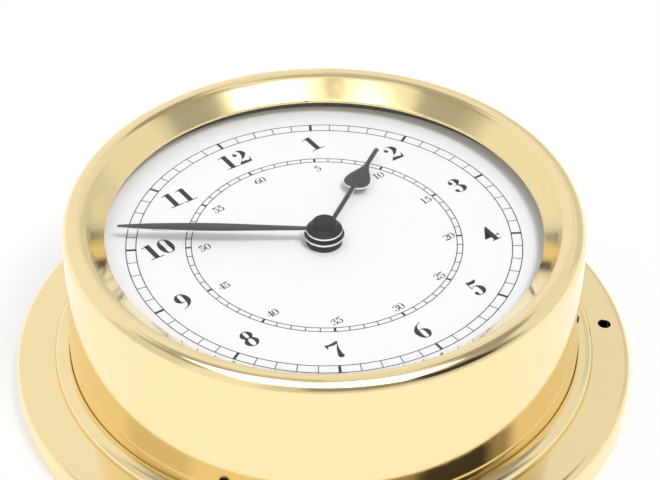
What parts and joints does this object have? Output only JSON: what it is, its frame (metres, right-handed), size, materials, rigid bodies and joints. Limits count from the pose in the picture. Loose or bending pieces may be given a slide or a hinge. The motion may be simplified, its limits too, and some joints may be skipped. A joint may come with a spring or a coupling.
{
  "type": "bulkhead clock",
  "caption": "Round polished brass bulkhead clock: wall flange with screw holes, lift-off drum case, glazed white dial with hour and minute hands, quartz movement inside.",
  "frame": {"origin": "centre of the flange's back face, on the surface that the clock lies on", "axes": "+Z out of the dial, +Y towards 12 o'clock, +X towards 3 o'clock"},
  "size_m": [0.125, 0.125, 0.04],
  "materials": {
    "brass": "polished and lacquered",
    "glass": "clear, flat",
    "rubber": "matt black",
    "dial_white": "satin white lacquer",
    "hand_black": "satin black",
    "movement_plastic": "fine moulded grain",
    "wheel_plastic": "natural moulded",
    "knob_plastic": "moulded",
    "steel": "plain",
    "arbor_steel": "turned",
    "magnet": "sintered",
    "copper": "enamelled wire",
    "board": "solder resist",
    "crystal_can": "drawn can",
    "battery_label": "plain printed sleeve",
    "contact_nickel": "nickel-plated spring sheet"
  },
  "bodies": {
    "wall_flange": {"flange_ring": "brass", "locating_pins": "steel"},
    "clock_case": {"drum_case": "brass", "seal_ring": "rubber", "glass": "glass", "glass_gasket": "rubber", "reflector_ring": "brass", "dial": "dial_white", "dial_snap_ring": "steel", "rubber_washer": "rubber", "centre_nut": "hand_black", "movement_front": "movement_plastic", "movement_back": "movement_plastic", "cover_screws": "steel", "train_plate": "movement_plastic", "stator": "steel", "coil_core": "steel", "coil_bobbin": "wheel_plastic", "coil_winding": "copper", "circuit_board": "board", "quartz_crystal": "crystal_can", "battery": "battery_label", "contact_plus": "contact_nickel", "contact_minus": "contact_nickel"},
    "minute_work": {"minute_arbor": "arbor_steel", "minute_hand": "hand_black", "hand_nut": "hand_black"},
    "hour_work": {"hour_wheel": "wheel_plastic", "hour_hand": "hand_black"},
    "minute_wheel": {"minute_wheel": "wheel_plastic"},
    "setting_knob": {"setting_knob": "knob_plastic"},
    "rotor": {"rotor": "magnet"},
    "intermediate_wheel": {"intermediate_wheel": "wheel_plastic"},
    "seconds_wheel": {"seconds_wheel": "wheel_plastic"},
    "third_wheel": {"third_wheel": "wheel_plastic"},
    "centre_wheel": {"centre_wheel": "wheel_plastic"}
  },
  "joints": [
    {"name": "case_lift", "type": "slide", "parent": "wall_flange", "child": "clock_case", "axis": [0, 0, 1], "range_m": [0, 0.04]},
    {"name": "minute_turn", "type": "hinge", "parent": "clock_case", "child": "minute_work", "pos_m": [0, 0, 0], "axis": [0, 0, -1], "continuous": true},
    {"name": "hour_turn", "type": "hinge", "parent": "clock_case", "child": "hour_work", "pos_m": [0, 0, 0], "axis": [0, 0, -1], "continuous": true},
    {"name": "minute_wheel_turn", "type": "hinge", "parent": "clock_case", "child": "minute_wheel", "pos_m": [0.00705, -0.00257, 0], "axis": [0, 0, -1], "continuous": true},
    {"name": "knob_turn", "type": "hinge", "parent": "clock_case", "child": "setting_knob", "pos_m": [0.01235, 0.00274, 0], "axis": [0, 0, -1], "continuous": true},
    {"name": "rotor_turn", "type": "hinge", "parent": "clock_case", "child": "rotor", "pos_m": [-0.00938, 0.00961, 0], "axis": [0, 0, -1], "continuous": true},
    {"name": "intermediate_turn", "type": "hinge", "parent": "clock_case", "child": "intermediate_wheel", "pos_m": [-0.006, 0.01363, 0], "axis": [0, 0, -1], "continuous": true},
    {"name": "seconds_turn", "type": "hinge", "parent": "clock_case", "child": "seconds_wheel", "pos_m": [-0.00215, 0.00903, 0], "axis": [0, 0, -1], "continuous": true},
    {"name": "third_turn", "type": "hinge", "parent": "clock_case", "child": "third_wheel", "pos_m": [0.00337, 0.00585, 0], "axis": [0, 0, -1], "continuous": true},
    {"name": "centre_turn", "type": "hinge", "parent": "clock_case", "child": "centre_wheel", "pos_m": [0, 0, 0], "axis": [0, 0, -1], "continuous": true}
  ],
  "couplings": [
    {"joint": "hour_turn", "follows": "minute_turn", "ratio": 0.083333},
    {"joint": "minute_wheel_turn", "follows": "minute_turn", "ratio": -0.33333},
    {"joint": "knob_turn", "follows": "minute_turn", "ratio": 1},
    {"joint": "intermediate_turn", "follows": "rotor_turn", "ratio": -0.16667},
    {"joint": "seconds_turn", "follows": "rotor_turn", "ratio": 0.033333},
    {"joint": "third_turn", "follows": "rotor_turn", "ratio": -0.0044444},
    {"joint": "centre_turn", "follows": "rotor_turn", "ratio": 0.00055556}
  ]
}
